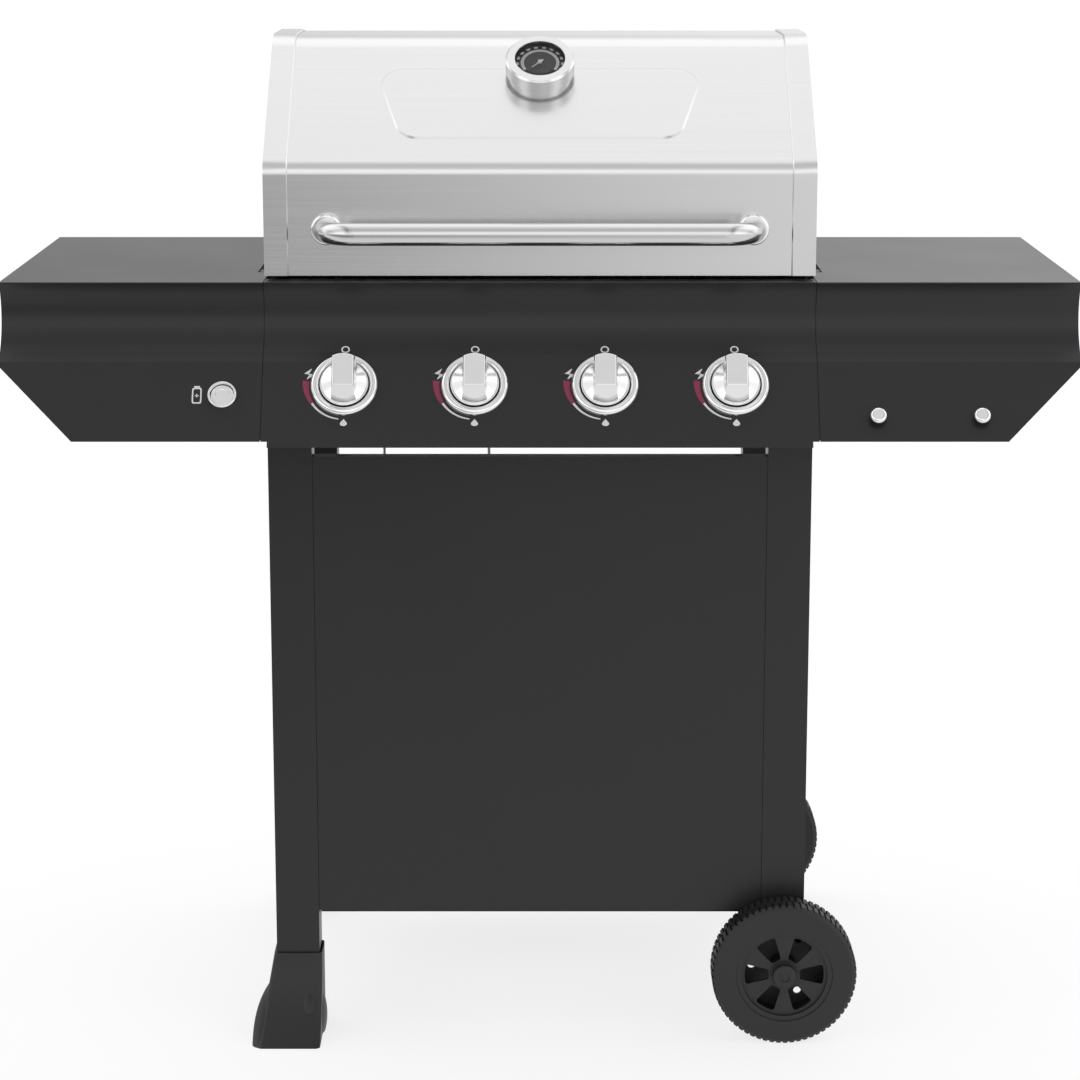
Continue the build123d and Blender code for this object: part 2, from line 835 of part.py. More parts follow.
def firebox_floor():
    """Sloping floor that drains to its mouth, with the two runners of the grease tray."""
    half = firebox_half - firebox_wall - lap_gap
    deep = firebox_depth - 2 * firebox_wall - 2 * lap_gap
    middle = firebox_front + firebox_depth / 2
    rim = Pos(0, middle, floor_rim - lap_gap) * Rectangle(2 * half, deep)
    mouth = Pos(0, middle, floor_mouth) * Rectangle(mouth_width, mouth_depth)
    funnel = loft([rim, mouth])
    floor = funnel - Pos(0, 0, 2 * firebox_wall) * funnel
    floor -= block(
        sheet - mouth_width / 2,
        mouth_width / 2 - sheet,
        middle - mouth_depth / 2 + sheet,
        middle + mouth_depth / 2 - sheet,
        floor_mouth - sheet,
        floor_mouth + 2 * firebox_wall + sheet,
    )
    rear = tray_front + tray_length
    low = tray_lift - 2 * sheet
    for side in (-1, 1):
        web = sorted((side * runner_half, side * (runner_half - sheet)))
        floor += block(*web, middle - mouth_depth / 2, middle + mouth_depth / 2, low, floor_mouth + sheet)
        floor += block(*web, tray_front, rear, low, floor_mouth - sheet)
        lip = sorted((side * runner_half, side * (runner_half - sheet - runner_lip)))
        floor += block(*lip, tray_front, rear, low, low + sheet)
    return floor


def burner_tube(x):
    """Round burner with a bell mouth at the front and a locating pin at the closed rear end."""
    front = burner_front()
    rear = firebox_rear - firebox_wall - burner_end_gap
    z = burner_height
    tube = rod((x, front, z), (x, rear, z), burner_diameter)
    tube += rod((x, front, z), (x, firebox_front - lap_gap, z), bell_diameter)
    tube -= rod((x, front - sheet, z), (x, rear - sheet, z), burner_diameter - 2 * burner_wall)
    return tube + rod((x, rear, z), (x, firebox_rear - firebox_wall, z), burner_pin)


def ignition_electrode(x):
    """Ceramic electrode through the firebox wall, with its bare tip beside the burner."""
    at = (x + electrode_offset, electrode_height)
    inner = firebox_front + electrode_reach
    body = rod((at[0], burner_front(), at[1]), (at[0], inner, at[1]), electrode_diameter)
    return body + rod((at[0], inner, at[1]), (at[0], inner + electrode_reach / 3, at[1]), electrode_tip)


def flame_tamer(x):
    """Folded roof over one burner, resting on the lower ledges."""
    low = tamer_ledge_height
    half = tamer_width / 2
    roof = Polyline(
        (x - half, low),
        (x, low + tamer_rise),
        (x + half, low),
        (x + half - 2 * sheet, low),
        (x, low + tamer_rise - 2 * sheet),
        (x - half + 2 * sheet, low),
        close=True,
    )
    front = firebox_front + firebox_wall + seam
    rear = firebox_rear - firebox_wall - seam
    return extrude(Plane.XZ.offset(-front) * make_face(roof), amount=rear - front, dir=(0, 1, 0))


def cooking_grate(index):
    """Two cross bars on the upper ledges with round rods welded along them."""
    width = (2 * grate_half - (grate_count - 1) * grate_gap) / grate_count
    left = index * (width + grate_gap) - grate_half
    front = firebox_front + firebox_wall + seam
    rear = firebox_rear - firebox_wall - seam
    low = grate_ledge_height
    rod_height = low + grate_bar + grate_rod / 2 - weld_sink
    first = left + grate_side_gap
    pitch = (width - 2 * grate_side_gap) / (grate_rods - 1)
    grate = block(left, left + width, front + seam, front + seam + grate_bar, low, low + grate_bar)
    grate += block(left, left + width, rear - seam - grate_bar, rear - seam, low, low + grate_bar)
    for n in range(grate_rods):
        x = first + n * pitch
        grate += rod((x, front, rod_height), (x, rear, rod_height), grate_rod)
    return grate


def warming_rack():
    """Wire grid between two bent end frames, which stand on the ledges of the firebox ends."""
    foot = grate_ledge_height
    top = foot + rack_rise
    half = (grate_half + seam + firebox_half - firebox_wall) / 2
    bend = 2 * rack_wire
    stations = (rack_front, foot), (rack_front, top), (rack_rear, top), (rack_rear, foot)
    path = FilletPolyline(*[(half, y, z) for y, z in stations], radius=bend)
    end = sweep(Plane(path @ 0, z_dir=path % 0) * Circle(rack_wire / 2), path=path)
    reach = half - rack_wire / 2
    grid = rod((-reach, rack_front + bend, top), (reach, rack_front + bend, top), rack_wire)
    grid += rod((-reach, rack_rear - bend, top), (reach, rack_rear - bend, top), rack_wire)
    span = half - 6 * rack_wire
    for n in range(rack_rods):
        x = span * (2 * n / (rack_rods - 1) - 1)
        grid += rod((x, rack_front, top), (x, rack_rear, top), rack_rod)
    return Compound([grid, end, left(end)])


def grease_tray():
    """Shallow pan with rims that slide on the runners, a drain hole and a pull lip at the rear."""
    half = runner_half - sheet - tray_side_gap / 2
    pan = half - tray_rim
    rear = tray_front + tray_length
    low = tray_lift - tray_depth
    tray = block(-pan, pan, tray_front, rear, low, tray_lift)
    tray += block(-half, half, tray_front, rear, tray_lift - sheet + lap_gap, tray_lift)
    tray -= block(sheet - pan, pan - sheet, tray_front + sheet, rear - sheet, low + sheet, tray_lift)
    tray += block(-pan, pan, rear - sheet, rear, tray_lift, tray_lift + tray_pull - sheet)
    return tray - rod((cup_x, cup_station, 0), (cup_x, cup_station, shelf_height), drain_diameter)


def grease_cup():
    """Tapered cup with a rolled rim, hung under the drain hole."""
    low = cup_top - cup_height
    outside = Polyline(
        (0, low),
        (cup_foot_diameter / 2, low),
        (cup_diameter / 2, cup_top - sheet),
        (cup_diameter / 2 + cup_rim, cup_top - sheet),
        (cup_diameter / 2 + cup_rim, cup_top),
        (cup_diameter / 2 - sheet, cup_top),
        (cup_foot_diameter / 2 - sheet, low + sheet),
        (0, low + sheet),
        close=True,
    )
    return Pos(cup_x, cup_station, 0) * revolve(Plane.XZ * make_face(outside), Axis.Z)


def grease_cup_hanger():
    """Wire ring under the cup's rim, with two uprights that hang it from the tray."""
    radius = cup_diameter / 2 + hanger_wire / 2 + hanger_gap
    ring_height = cup_top - sheet - hanger_gap - hanger_wire / 2
    ring = Pos(cup_x, cup_station, ring_height) * Torus(radius, hanger_wire / 2)
    upright = radius + hanger_wire
    for side in (-1, 1):
        x = cup_x + side * upright
        corner = (x, cup_station, ring_height)
        ring += rod((cup_x + side * radius, cup_station, ring_height), corner, hanger_wire)
        ring += rod(corner, (x, cup_station, tray_lift - tray_depth), hanger_wire)
        ring += Pos(*corner) * Sphere(hanger_wire / 2)
    return ring


def leg(foot, axle):
    """Front right leg: a channel folded round its front and sides, open to the rear."""
    inner = leg_inner
    channel = block(inner, leg_outer, cart_front, cart_front + leg_depth, foot, leg_top)
    rear = cart_front + leg_depth + sheet
    front = cart_front + sheet
    channel -= block(inner + sheet, leg_outer - sheet, front, rear, foot - sheet, leg_top - sheet)
    if axle:
        hole = axle_diameter + 2 * axle_hole_clearance
        ends = (leg_middle, 0, wheel_radius), (leg_middle, 2 * cart_front, wheel_radius)
        channel -= rod(*ends, hole)
    return channel


def foot_corner(share):
    """Outer front corner of a foot at a share of its height."""
    wall = -leg_outer - foot_wall
    front = cart_front - foot_wall
    x = wall - (foot_flare - foot_wall) * (1 - share)
    return x, front - (foot_toe - foot_wall) * (1 - share) ** 2


def toe_lobe():
    """Rounded lobe on a foot's outer front corner, swelling near the ground and running out above."""
    sections = []
    for share, swell in toe_lobe_swell:
        x, y = foot_corner(share)
        x += toe_lobe_radius - swell
        y += toe_lobe_radius + toe_lobe_setback
        sections.append(Pos(x, y, foot_height * share) * Circle(toe_lobe_radius))
    return loft(sections)


def inner_lobe(x_tip, y):
    """Rounded inner side of a foot, an ellipsoid from its tip inward, cut flat at the ground."""
    height = lobe_height - lobe_middle
    ball = scale(Sphere(1), by=(lobe_reach, lobe_depth, height))
    lobe = Pos(x_tip - lobe_reach, y, lobe_middle) * ball
    return lobe & block(-overall_width, 0, y - overall_width, y + overall_width, 0, lobe_height)


def foot():
    """Moulded boot of the front left leg, flaring forward and outward, with a lobe on each side."""
    inner = -leg_inner + foot_wall
    rear = cart_front + leg_depth + foot_heel
    sections = []
    for share in (0.0, 0.3, 1.0):
        x_low, y_low = foot_corner(share)
        centre = Pos((x_low + inner) / 2, (y_low + rear) / 2, foot_height * share)
        sections.append(centre * RectangleRounded(inner - x_low, rear - y_low, foot_round))
    boot = loft(sections) + toe_lobe()
    boot += inner_lobe(inner + inner_lobe_bulge, cart_front + leg_depth - lobe_depth)
    socket = block(
        -leg_outer - lap_gap,
        -leg_inner + lap_gap,
        cart_front - lap_gap,
        cart_front + leg_depth + lap_gap,
        foot_leg_foot,
        foot_height + sheet,
    )
    return boot - socket


def front_panel():
    """Folded front sheet between the front legs."""
    half = leg_inner - lap_gap
    front = cart_front + panel_inset
    panel = block(-half, half, front, front + panel_flange, panel_foot, panel_top)
    rear = front + panel_flange + sheet
    inside = half - sheet
    return panel - block(-inside, inside, front + sheet, rear, panel_foot + sheet, panel_top - sheet)


def rail(x_low, x_high, y_low, y_high):
    """Folded channel rail of the cart, open below."""
    top = rail_foot + rail_height
    bar = block(x_low, x_high, y_low, y_high, rail_foot, top)
    along_x = x_high - x_low > y_high - y_low
    trim_x = -sheet if along_x else sheet
    trim_y = sheet if along_x else -sheet
    return bar - block(
        x_low + trim_x, x_high - trim_x, y_low + trim_y, y_high - trim_y, rail_foot - sheet, top - sheet
    )


def frame_rails():
    """Two side rails between front and rear legs, and one rear rail between the rear legs."""
    front = cart_front + leg_depth + lap_gap
    rear = cart_rear - leg_depth - lap_gap
    left = rail(-leg_middle - rail_width / 2, rail_width / 2 - leg_middle, front, rear)
    right = rail(leg_middle - rail_width / 2, leg_middle + rail_width / 2, front, rear)
    span = leg_inner - lap_gap
    back = rail(-span, span, cart_rear - rail_width, cart_rear)
    return Compound([left, right, back])


def bottom_shelf():
    """Sheet on the rails with a turned-down front edge and the round hole for the gas bottle's foot."""
    low = rail_foot + rail_height + lap_gap
    half = leg_middle + rail_width / 2
    front = cart_front + leg_depth + 2 * lap_gap
    rear = cart_rear - leg_depth - 2 * lap_gap
    middle = (front + rear) / 2
    plate = block(-half, half, front, rear, low, low + sheet)
    inner = leg_inner - lap_gap - seam
    plate += block(-inner, inner, rear - sheet, cart_rear, low, low + sheet)
    plate += block(sheet - inner, inner - sheet, front, front + sheet, low - bottom_shelf_lip, low + sheet)
    return plate - rod((0, middle, 0), (0, middle, shelf_height), bottle_hole)


def tread_row(low, high, turn):
    """One row of tread lugs round the tyre, between two places across it, turned by a share of a lug."""
    step = 2 * pi / lug_count
    floor = wheel_radius - lug_depth
    points = []
    for n in range(lug_count):
        for share, radius in ((0, wheel_radius), (lug_share, wheel_radius), (lug_share, floor), (1, floor)):
            angle = (n + share + turn) * step
            points.append((radius * cos(angle), radius * sin(angle)))
    return Pos(0, 0, low) * extrude(make_face(Polyline(*points, close=True)), amount=high - low)


def tyre():
    """Tyre of the front wheel: two staggered rows of lugs beside a groove, bevelled at the shoulders."""
    half = wheel_width / 2
    groove = tread_groove / 2
    ring = disc(2 * (wheel_radius - lug_depth), -groove, groove)
    ring += tread_row(-half, -groove, 0)
    ring += tread_row(groove, half, 0.5)
    hold = Polyline(
        (0, -half),
        (wheel_radius - tyre_shoulder, -half),
        (wheel_radius + sheet, tyre_shoulder - half),
        (wheel_radius + sheet, half - tyre_shoulder),
        (wheel_radius - tyre_shoulder, half),
        (0, half),
        close=True,
    )
    ring &= revolve(Plane.XZ * make_face(hold), Axis.Z)
    return ring - disc(2 * rim_radius, -wheel_width, wheel_width)


def wheel_window():
    """Window between two spokes, as a face round the wheel's axis."""
    corners = []
    for radius, angle in ((window_inner, window_inner_angle), (window_outer, window_outer_angle)):
        half = radians(angle / 2)
        corners.append([(radius * cos(half), side * radius * sin(half)) for side in (-1, 1)])
    low, high = corners
    outline = Polyline(high[0], low[0], low[1], high[1])
    outline += ThreePointArc(high[1], (window_outer, 0), high[0])
    return fillet(make_face(outline).vertices(), 2 * sheet)


def hub():
    """Moulded wheel: rim, outer disc with windows, inner web with three small holes and the bored boss."""
    half = wheel_width / 2
    rim = rim_radius - tyre_fit
    face_low = half - hub_recess - hub_web
    body = disc(2 * rim, sheet - half, half - sheet)
    body -= disc(2 * (rim - rim_wall), half - hub_recess, half)
    body -= disc(2 * (rim - rim_wall), hub_web + sheet - half, face_low)
    boss = disc(2 * hub_radius, -half - wheel_gap + lap_gap, half - hub_recess / 2)
    for n in range(spoke_windows):
        window = Rot(0, 0, n * 360 / spoke_windows) * wheel_window()
        body -= Pos(0, 0, face_low - sheet) * extrude(window, amount=hub_web + 2 * sheet)
    for n in range(web_holes):
        turn = Rot(0, 0, (n + 0.5) * 360 / web_holes)
        body -= turn * Pos(web_hole_radius, 0, 0) * disc(web_hole_diameter, -half, 2 * hub_web - half)
    body += boss
    return body - disc(axle_diameter + 2 * running_clearance, -wheel_width, wheel_width)


def at_wheel(shape, rear):
    """Stand a wheel piece on the axle at the front, or turned round at the rear."""
    y = wheel_rear - wheel_width / 2 if rear else wheel_front + wheel_width / 2
    out = (0, 1, 0) if rear else (0, -1, 0)
    return Plane((leg_middle, y, wheel_radius), x_dir=(1, 0, 0), z_dir=out) * shape


def wheel_axle():
    """Axle through both right legs and both wheels."""
    end = 2 * sheet - lap_gap
    front = (leg_middle, wheel_front - end, wheel_radius)
    rear = (leg_middle, wheel_rear + end, wheel_radius)
    return rod(front, rear, axle_diameter)


def axle_cap(y, out):
    """Rounded and dished cap pushed on one end of the axle."""
    cap = disc(cap_diameter, lap_gap, cap_depth)
    cap = fillet(cap.edges().group_by(Axis.Z)[-1], cap_depth / 2)
    cap -= disc(cap_dish, cap_depth - sheet, cap_depth)
    cap -= disc(axle_diameter + 2 * running_clearance, 0, 2 * sheet)
    return Plane((leg_middle, y, wheel_radius), z_dir=(0, out, 0)) * cap


def left(shape):
    """Mirror image of a right-hand piece."""
    return mirror(shape, about=Plane.YZ)


def to_rear(shape):
    """Mirror image of a front cart piece at the rear of the cart."""
    return mirror(shape, about=Plane.XZ.offset(-(cart_front + cart_rear) / 2))


# Firebox and what it holds
keep("firebox_front_wall", firebox_front_wall())
keep("firebox_rear_wall", firebox_rear_wall())
keep("firebox_right_end", firebox_end())
keep("firebox_left_end", left(firebox_end()))
keep("firebox_floor", firebox_floor())
keep("burner_tubes", Compound([burner_tube(x) for x in knob_stations]))
keep("ignition_electrodes", Compound([ignition_electrode(x) for x in knob_stations]))
keep("flame_tamers", Compound([flame_tamer(x) for x in knob_stations]))
for index, side in enumerate(("left", "middle", "right")):
    keep(f"cooking_grate_{side}", cooking_grate(index))
keep("warming_rack", warming_rack())
keep("grease_tray", grease_tray())
keep("grease_cup", grease_cup())
keep("grease_cup_hanger", grease_cup_hanger())

# Gas train and controls
keep("gas_manifold", gas_manifold())
keep("gas_valves", Compound([gas_valve(x) for x in knob_stations]))
keep("control_panel", control_panel())
keep("knob_bezels", Compound([knob_bezel(x) for x in knob_stations]))
for index, x in enumerate(knob_stations):
    keep(f"control_knob_{index + 1}", control_knob(x))
    keep(f"valve_collar_{index + 1}", valve_collar(x))

# Side shelves
igniter_hole = facet_plane(igniter_x, igniter_drop) * disc(
    igniter_bezel_diameter - 2 * sheet + 2 * lap_gap, -4 * sheet, 4 * sheet
)
keep("right_shelf_top", shelf_top())
keep("left_shelf_top", left(shelf_top()))
keep("right_shelf_fascia", shelf_fascia())
keep("left_shelf_fascia", left(shelf_fascia()) - igniter_hole)
brackets = [shelf_bracket(station) for station in bracket_stations]
keep("shelf_brackets", Compound(brackets + [left(bracket) for bracket in brackets]))
keep("igniter_module", igniter_module())
keep("igniter_button", igniter_button())
keep("tool_hooks", Compound([tool_hook(x) for x in hook_stations]))

# Lid
keep("lid_panel", lid_panel())
keep("right_lid_end_cap", lid_end_cap())
keep("left_lid_end_cap", left(lid_end_cap()))
keep("hinge_pins", Compound([hinge_pin(), left(hinge_pin())]))
keep("lid_handle", lid_handle())
keep("handle_bosses", Compound([handle_boss(side * handle_span / 2) for side in (-1, 1)]))
keep("gauge_bezel", gauge_bezel())
keep("gauge_dial", gauge_dial())
keep("gauge_lens", gauge_lens())
keep("gauge_needle", gauge_needle())

# Cart
keep("front_right_leg", leg(wheel_leg_foot, True))
keep("rear_right_leg", to_rear(leg(wheel_leg_foot, True)))
keep("front_left_leg", left(leg(foot_leg_foot + lap_gap, False)))
keep("rear_left_leg", to_rear(left(leg(foot_leg_foot + lap_gap, False))))
keep("front_left_foot", foot())
keep("rear_left_foot", to_rear(foot()))
keep("front_panel", front_panel())
keep("frame_rails", frame_rails())
keep("bottom_shelf", bottom_shelf())
keep("wheel_axle", wheel_axle())
keep("axle_caps", Compound([axle_cap(wheel_front, -1), axle_cap(wheel_rear, 1)]))
for place, rear in (("front", False), ("rear", True)):
    keep(f"{place}_tyre", at_wheel(tyre(), rear))
    keep(f"{place}_hub", at_wheel(hub(), rear))

os.makedirs("parts", exist_ok=True)
for name, piece in pieces.items():
    export_step(piece, f"parts/{name}.step")
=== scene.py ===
import json
import math

import bmesh
import bpy
import numpy as np
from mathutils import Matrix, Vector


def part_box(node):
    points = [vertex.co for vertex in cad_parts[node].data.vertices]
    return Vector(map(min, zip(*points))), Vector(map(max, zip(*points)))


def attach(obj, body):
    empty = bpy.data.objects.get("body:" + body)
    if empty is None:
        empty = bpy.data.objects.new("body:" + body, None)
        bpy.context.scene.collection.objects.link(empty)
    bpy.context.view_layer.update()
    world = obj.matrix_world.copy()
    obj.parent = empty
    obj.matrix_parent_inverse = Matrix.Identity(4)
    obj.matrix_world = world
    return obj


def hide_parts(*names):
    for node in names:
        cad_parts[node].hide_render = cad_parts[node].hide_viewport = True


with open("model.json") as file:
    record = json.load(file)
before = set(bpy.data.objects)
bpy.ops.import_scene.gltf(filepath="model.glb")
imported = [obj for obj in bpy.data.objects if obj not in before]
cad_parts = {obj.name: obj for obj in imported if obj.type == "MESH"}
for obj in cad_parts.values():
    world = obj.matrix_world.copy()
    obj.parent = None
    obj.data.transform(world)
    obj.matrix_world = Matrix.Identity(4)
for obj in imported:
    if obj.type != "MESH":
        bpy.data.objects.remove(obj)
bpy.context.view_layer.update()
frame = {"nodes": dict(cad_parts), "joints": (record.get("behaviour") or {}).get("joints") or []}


# Cart: four folded legs, the front panel, the rails and the bottom shelf.
# Cold-rolled steel sheet, folded, spot-welded and screwed together, then powder-coated a
# semi-gloss black that has a very fine orange peel.
class Wire:
    """A socket in a material's node tree; arithmetic on it adds Math nodes."""

    def __init__(self, tree, socket=None):
        self.tree = tree
        self.socket = socket

    def node(self, kind, settings=None, sockets=None, output=0):
        """Add a node, set its settings, then its sockets' values or links; give one output."""
        made = self.tree.nodes.new("ShaderNode" + kind)
        for name, value in (settings or {}).items():
            setattr(made, name, value)
        for key, value in (sockets or {}).items():
            if isinstance(value, Wire):
                self.tree.links.new(value.socket, made.inputs[key])
            else:
                made.inputs[key].default_value = value
        return Wire(self.tree, made.outputs[output])

    def maths(self, operation, *terms):
        """Math node on values and wires; nothing is clamped."""
        return self.node("Math", {"operation": operation}, dict(enumerate(terms)))

    def __add__(self, other):
        return self.maths("ADD", self, other)

    def __radd__(self, other):
        return self.maths("ADD", other, self)

    def __sub__(self, other):
        return self.maths("SUBTRACT", self, other)

    def __rsub__(self, other):
        return self.maths("SUBTRACT", other, self)

    def __mul__(self, other):
        return self.maths("MULTIPLY", self, other)

    def __rmul__(self, other):
        return self.maths("MULTIPLY", other, self)

    def place(self):
        """Object coordinates: where a point of the piece lies, in metres."""
        return self.node("TexCoord", output="Object")

    def noise(self, scale, detail=2.0):
        """Noise from 0 to 1 over the place, with so many spots to a metre."""
        sockets = {"Vector": self.place(), "Scale": scale, "Detail": detail}
        return self.node("TexNoise", None, sockets)

    def streaks(self, stretch, detail):
        """Noise from 0 to 1 over the place, stretched by another scale along each axis."""
        drawn = self.node("Mapping", None, {"Vector": self.place(), "Scale": stretch})
        return self.node("TexNoise", None, {"Vector": drawn, "Scale": 1.0, "Detail": detail})

    def blend(self, dark, light):
        """Colour between two others, by this value."""
        colours = {0: self, 6: (*dark, 1), 7: (*light, 1)}
        return self.node("Mix", {"data_type": "RGBA"}, colours, 2)

    def tint(self, shade, least):
        """Colour between the least share of a shade and the whole of it, by this value."""
        return self.blend(tuple(least * part for part in shade), shade)

    def rise(self, low, high):
        """Smooth step of this value from 0 at low to 1 at high."""
        reach = {"Value": self, "From Min": low, "From Max": high}
        return self.node("MapRange", {"interpolation_type": "SMOOTHSTEP"}, reach)

    def band(self, low, high, soft):
        """1 where this value lies between low and high, with a soft fall to 0 on both sides."""
        return self.rise(low - soft, low) * (1.0 - self.rise(high, high + soft))

    def relief(self, depth):
        """Normal of a surface raised by this value times a depth in metres."""
        return self.node("Bump", None, {"Height": self, "Distance": depth, "Strength": 1.0})

    def into(self, socket):
        """Link this socket into one of a shader's sockets."""
        self.tree.links.new(self.socket, socket)


def new_finish(name, **constants):
    """Material with one shader and its constants; gives it, a wire in its tree and the sockets."""
    material = bpy.data.materials.new(name)
    material.use_nodes = True
    tree = material.node_tree
    shader = tree.nodes["Principled BSDF"].inputs
    for socket, value in constants.items():
        shader[socket.replace("_", " ")].default_value = value
    return material, Wire(tree), shader


def powder_coat(name, shade, gloss):
    """Black coat: cloudy shade and gloss from a broad noise, orange peel from a fine one."""
    material, wire, shader = new_finish(name, Specular_IOR_Level=0.36)
    cloud = wire.noise(scale=7.0, detail=4.0)
    peel = wire.noise(scale=620.0, detail=1.0)
    cloud.tint(shade, least=0.88).into(shader["Base Color"])
    (gloss + 0.08 * cloud).into(shader["Roughness"])
    peel.relief(depth=0.00002).into(shader["Normal"])
    return material


def coat(material, *nodes):
    """Give a finish to CAD nodes by putting it in all their material slots."""
    for node in nodes:
        mesh = frame["nodes"][node].data
        for index in range(len(mesh.materials)):
            mesh.materials[index] = material


black_enamel = powder_coat("black_enamel", shade=(0.0145, 0.0143, 0.0146), gloss=0.31)
legs = [f"{end}_{side}_leg" for end in ("front", "rear") for side in ("left", "right")]
coat(black_enamel, *legs, "front_panel", "frame_rails", "bottom_shelf")


# Feet: two moulded boots on the left legs.
# Black polypropylene with a fine spark-eroded grain, pushed on to the leg ends.
def grained_plastic(name, shade, gloss):
    """Moulded plastic: a cell grain in the relief and a little wear in the shade and gloss."""
    material, wire, shader = new_finish(name, Specular_IOR_Level=0.4)
    wear = wire.noise(scale=26.0, detail=3.0)
    grain = wire.node("TexVoronoi", None, {"Vector": wire.place(), "Scale": 900.0})
    wear.tint(shade, least=0.8).into(shader["Base Color"])
    (gloss + 0.1 * wear).into(shader["Roughness"])
    grain.relief(depth=0.00003).into(shader["Normal"])
    return material


black_plastic = grained_plastic("black_plastic", shade=(0.0165, 0.0165, 0.017), gloss=0.42)
coat(black_plastic, "front_left_foot", "rear_left_foot")


# Wheels: two moulded wheels with ribbed tyres on one axle through the right legs.
# Blow-moulded black plastic for tyre and hub, and a bright steel axle with black caps pushed
# on its ends.
def bright_steel(name, shade, gloss):
    """Plain bright steel: rolled streaks along x in the shade and the gloss."""
    material, wire, shader = new_finish(name, Metallic=1.0)
    streak = wire.streaks(stretch=(4.0, 260.0, 260.0), detail=4.0)
    streak.tint(shade, least=0.8).into(shader["Base Color"])
    (gloss + 0.16 * streak).into(shader["Roughness"])
    return material


tyre_black = grained_plastic("tyre_black", shade=(0.017, 0.017, 0.017), gloss=0.5)
plain_steel = bright_steel("plain_steel", shade=(0.58, 0.58, 0.57), gloss=0.24)
coat(tyre_black, "front_tyre", "rear_tyre")
coat(black_plastic, "front_hub", "rear_hub", "axle_caps")
coat(plain_steel, "wheel_axle")


# Firebox: front, rear and end walls with a sloping floor.
# Steel sheet with a dull heat-proof enamel; the burners, valves and grates hang in it.
firebox_enamel = powder_coat("firebox_enamel", shade=(0.016, 0.0155, 0.015), gloss=0.52)
walls = ("front_wall", "rear_wall", "left_end", "right_end", "floor")
coat(firebox_enamel, *[f"firebox_{wall}" for wall in walls])


# Burners, flame tamers, gas manifold and valves.
# Stainless tubes and folded roofs, a plated steel pipe, turned brass valve bodies and
# white glazed electrodes.
def turned_brass():
    """Brass: a warm shade with paler, duller spots."""
    material, wire, shader = new_finish("valve_brass", Metallic=1.0)
    dull = wire.noise(scale=60.0, detail=4.0)
    dull.blend((0.5, 0.34, 0.12), (0.74, 0.54, 0.24)).into(shader["Base Color"])
    (0.2 + 0.25 * dull).into(shader["Roughness"])
    return material


def glazed_ceramic():
    """White glaze with faint grey clouds."""
    material, wire, shader = new_finish("ceramic", Roughness=0.18)
    cloud = wire.noise(scale=90.0)
    cloud.blend((0.74, 0.73, 0.7), (0.86, 0.85, 0.82)).into(shader["Base Color"])
    return material


coat(plain_steel, "burner_tubes", "flame_tamers", "gas_manifold")
coat(plain_steel, *[f"valve_collar_{number}" for number in range(1, 5)])
coat(turned_brass(), "gas_valves")
coat(glazed_ceramic(), "ignition_electrodes")


# Cooking grates and warming rack.
# Welded rods under a matt black enamel; the rack is chromed wire.
def chrome_plate(name, bright, gloss):
    """Chrome: nearly white metal with faint finger smudges in the shade and the gloss."""
    material, wire, shader = new_finish(name, Metallic=1.0)
    smudge = wire.noise(scale=55.0, detail=3.0)
    smudge.tint((bright,) * 3, least=0.93).into(shader["Base Color"])
    (gloss + 0.06 * smudge).into(shader["Roughness"])
    return material


def grate_enamel():
    """Matt enamel: one fine noise pebbles the shade, the gloss and the relief."""
    material, wire, shader = new_finish("cast_grate", Specular_IOR_Level=0.4)
    pebble = wire.noise(scale=420.0, detail=3.0)
    pebble.blend((0.012, 0.012, 0.012), (0.026, 0.026, 0.026)).into(shader["Base Color"])
    (0.5 + 0.2 * pebble).into(shader["Roughness"])
    pebble.relief(depth=0.0003).into(shader["Normal"])
    return material


chrome = chrome_plate("chrome", bright=0.84, gloss=0.05)
coat(grate_enamel(), *[f"cooking_grate_{side}" for side in ("left", "middle", "right")])
coat(chrome, "warming_rack")


# Grease tray, cup and hanger.
# Galvanised sheet with its crystal spangle; the hanger is bent wire.
def galvanised():
    """Zinc coat: crystal cells in the shade and the gloss."""
    material, wire, shader = new_finish("zinc_tray", Metallic=1.0)
    cells = {"Vector": wire.place(), "Scale": 120.0}
    crystal = wire.node("TexVoronoi", None, cells, "Color")
    shade = wire.node("RGBToBW", None, {"Color": crystal})
    shade.blend((0.5, 0.5, 0.51), (0.64, 0.64, 0.64)).into(shader["Base Color"])
    (0.26 + 0.2 * shade).into(shader["Roughness"])
    return material


coat(galvanised(), "grease_tray", "grease_cup")
coat(plain_steel, "grease_cup_hanger")


# Side shelves and control panel.
# Folded sheet in the cart's black coat; the fascias continue the panel's scoop and facet.
shelves = [f"{side}_shelf_{part}" for side in ("left", "right") for part in ("top", "fascia")]
coat(black_enamel, *shelves, "shelf_brackets", "control_panel")


# Printed marks: an off ring, a spark, a red and a white arc and a small flame round each knob,
# and a battery beside the igniter.
# Screen-printed ink, a tenth of a millimetre thick, on the coat of panel and left fascia.
# Points and directions of the panel's section are y + z * 1j, marks are across + up * 1j.
panel_low, panel_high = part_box("control_panel")
panel_corner = complex(panel_low.y, panel_high.z)
brow = panel_corner + complex(0.058, -0.086)
scoop_foot = panel_corner + complex(0.069, -0.077)
scoop_head = panel_corner + 0.078
scoop_sag = 0.015
ink = 0.0001
knob_joints = [joint for joint in frame["joints"] if joint["name"].startswith("knob_turn")]
facet_way = complex(knob_joints[0]["axis"][2], -knob_joints[0]["axis"][1])


